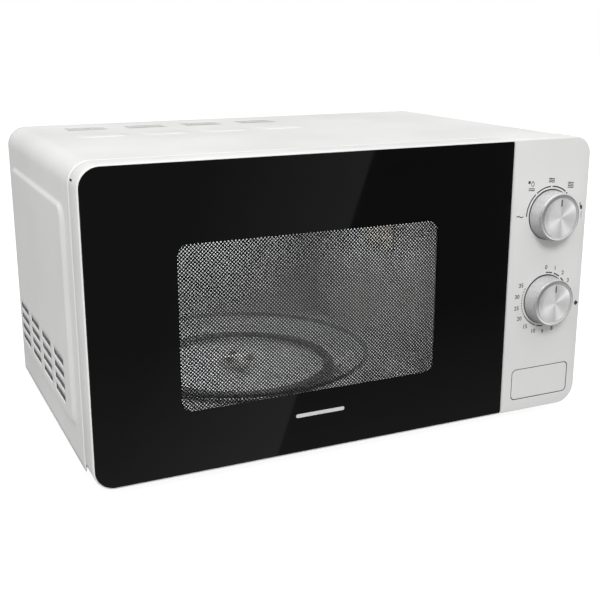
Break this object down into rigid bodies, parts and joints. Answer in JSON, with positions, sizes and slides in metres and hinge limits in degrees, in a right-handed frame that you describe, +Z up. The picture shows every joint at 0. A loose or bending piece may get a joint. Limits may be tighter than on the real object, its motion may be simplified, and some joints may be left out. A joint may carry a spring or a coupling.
{
  "type": "microwave oven",
  "caption": "Countertop microwave oven: swing door with a dark glass front and screened window, two turn dials, push-open button, turntable and the working parts inside.",
  "frame": {"origin": "middle of the overall box, on the surface that the four feet stand on", "axes": "+X to the right as seen from the front, +Y to the back, +Z up; the door and dials face -Y"},
  "size_m": [0.455, 0.3426, 0.2565],
  "materials": {
    "case_paint": "smooth white powder coat on sheet steel",
    "panel_plastic": "white moulded plastic, fine satin texture",
    "door_glass": "clear glass, black print behind it, clear window",
    "knob_silver": "silver lacquer with fine metal flake",
    "chassis_steel": "galvanised sheet steel",
    "cavity_enamel": "light grey baked paint",
    "screen_steel": "black coated perforated steel",
    "clear_film": "clear polyester sheet",
    "dark_plastic": "moulded dark grey plastic",
    "natural_plastic": "natural nylon",
    "tray_glass": "pressed clear glass",
    "rubber": "black moulded rubber",
    "mica": "pressed mica sheet",
    "aluminium": "bare aluminium",
    "core_iron": "varnished iron laminations",
    "copper": "enamelled copper wire",
    "board": "green circuit board with parts",
    "lamp_glass": "clear lamp glass"
  },
  "bodies": {
    "root": {"outer_case": "case_paint", "control_panel": "panel_plastic", "base_plate": "chassis_steel", "rear_panel": "chassis_steel", "waveguide": "chassis_steel", "hinge_top": "chassis_steel", "hinge_bottom": "chassis_steel", "case_screw_1": "chassis_steel", "case_screw_2": "chassis_steel", "case_screw_3": "chassis_steel", "case_screw_4": "chassis_steel", "timer_unit": "chassis_steel", "timer_bell": "chassis_steel", "turntable_motor": "chassis_steel", "lamp_bracket": "chassis_steel", "fan_motor": "chassis_steel", "cavity_shell": "cavity_enamel", "cavity_floor": "cavity_enamel", "cavity_rear": "cavity_enamel", "front_frame": "cavity_enamel", "primary_switch": "dark_plastic", "monitor_switch": "dark_plastic", "secondary_switch": "dark_plastic", "fan_shroud": "dark_plastic", "thermal_cutout": "dark_plastic", "latch_board": "natural_plastic", "power_switch": "natural_plastic", "foot_front_left": "rubber", "foot_front_right": "rubber", "foot_rear_left": "rubber", "foot_rear_right": "rubber", "cord_bushing": "rubber", "waveguide_cover": "mica", "magnetron": "aluminium", "capacitor": "aluminium", "transformer_core": "core_iron", "primary_winding": "copper", "secondary_winding": "copper", "filter_board": "board", "oven_lamp": "lamp_glass"},
    "door": {"door_frame": "panel_plastic", "door_glass": "door_glass", "door_screen": "screen_steel", "door_film": "clear_film", "choke_cover": "dark_plastic", "latch_spring": "chassis_steel"},
    "door_hook": {"door_latch": "natural_plastic"},
    "power_dial": {"power_knob": "knob_silver", "power_spindle": "chassis_steel"},
    "timer_dial": {"timer_knob": "knob_silver", "timer_spindle": "chassis_steel"},
    "button": {"open_button": "panel_plastic"},
    "lever": {"release_lever": "natural_plastic"},
    "coupler": {"drive_coupler": "natural_plastic"},
    "tray": {"glass_turntable": "tray_glass"},
    "ring": {"roller_ring": "dark_plastic"},
    "roller_a": {"roller_wheel_1": "natural_plastic"},
    "roller_b": {"roller_wheel_2": "natural_plastic"},
    "roller_c": {"roller_wheel_3": "natural_plastic"},
    "fan_rotor": {"fan_blade": "dark_plastic"}
  },
  "joints": [
    {"name": "door_swing", "type": "hinge", "parent": "root", "child": "door", "pos_m": [-0.2195, -0.1355, 0.13], "axis": [0, 0, -1], "range_deg": [0, 95]},
    {"name": "hook_lift", "type": "slide", "parent": "door", "child": "door_hook", "axis": [0, 0, 1], "range_m": [0, 0.0035], "stiffness_N_per_m": 400, "springref_m": -0.001, "deforming": ["latch_spring"]},
    {"name": "power_turn", "type": "hinge", "parent": "root", "child": "power_dial", "pos_m": [0.1853, -0.15575, 0.18955], "axis": [0, 1, 0], "range_deg": [-90, 85]},
    {"name": "timer_turn", "type": "hinge", "parent": "root", "child": "timer_dial", "pos_m": [0.1853, -0.15575, 0.11295], "axis": [0, 1, 0], "range_deg": [0, 300]},
    {"name": "button_press", "type": "slide", "parent": "root", "child": "button", "axis": [0, 1, 0], "range_m": [0, 0.004], "stiffness_N_per_m": 800, "springref_m": -0.001},
    {"name": "lever_swing", "type": "hinge", "parent": "root", "child": "lever", "pos_m": [0.158, -0.121, 0.062], "axis": [1, 0, 0], "range_deg": [0, 9]},
    {"name": "table_spin", "type": "hinge", "parent": "root", "child": "coupler", "pos_m": [-0.041, 0.02, 0.028], "axis": [0, 0, 1], "continuous": true},
    {"name": "tray_lift", "type": "slide", "parent": "coupler", "child": "tray", "axis": [0, 0, 1], "range_m": [0, 0.03]},
    {"name": "ring_spin", "type": "hinge", "parent": "root", "child": "ring", "pos_m": [-0.041, 0.02, 0.0313], "axis": [0, 0, 1], "continuous": true},
    {"name": "fan_spin", "type": "hinge", "parent": "root", "child": "fan_rotor", "pos_m": [0.172, 0.116, 0.158], "axis": [0, 1, 0], "continuous": true},
    {"name": "roller_spin_a", "type": "hinge", "parent": "ring", "child": "roller_a", "pos_m": [0.043, -0.0285, 0.0313], "axis": [-0.866, 0.5, 0], "continuous": true},
    {"name": "roller_spin_b", "type": "hinge", "parent": "ring", "child": "roller_b", "pos_m": [-0.041, 0.117, 0.0313], "axis": [0, -1, 0], "continuous": true},
    {"name": "roller_spin_c", "type": "hinge", "parent": "ring", "child": "roller_c", "pos_m": [-0.125, -0.0285, 0.0313], "axis": [0.866, 0.5, 0], "continuous": true}
  ],
  "couplings": [
    {"joint": "lever_swing", "follows": "button_press", "rad_per_m": 37.037},
    {"joint": "ring_spin", "follows": "table_spin", "ratio": 0.5},
    {"joint": "roller_spin_a", "follows": "table_spin", "ratio": 8.8182},
    {"joint": "roller_spin_b", "follows": "table_spin", "ratio": 8.8182},
    {"joint": "roller_spin_c", "follows": "table_spin", "ratio": 8.8182}
  ]
}
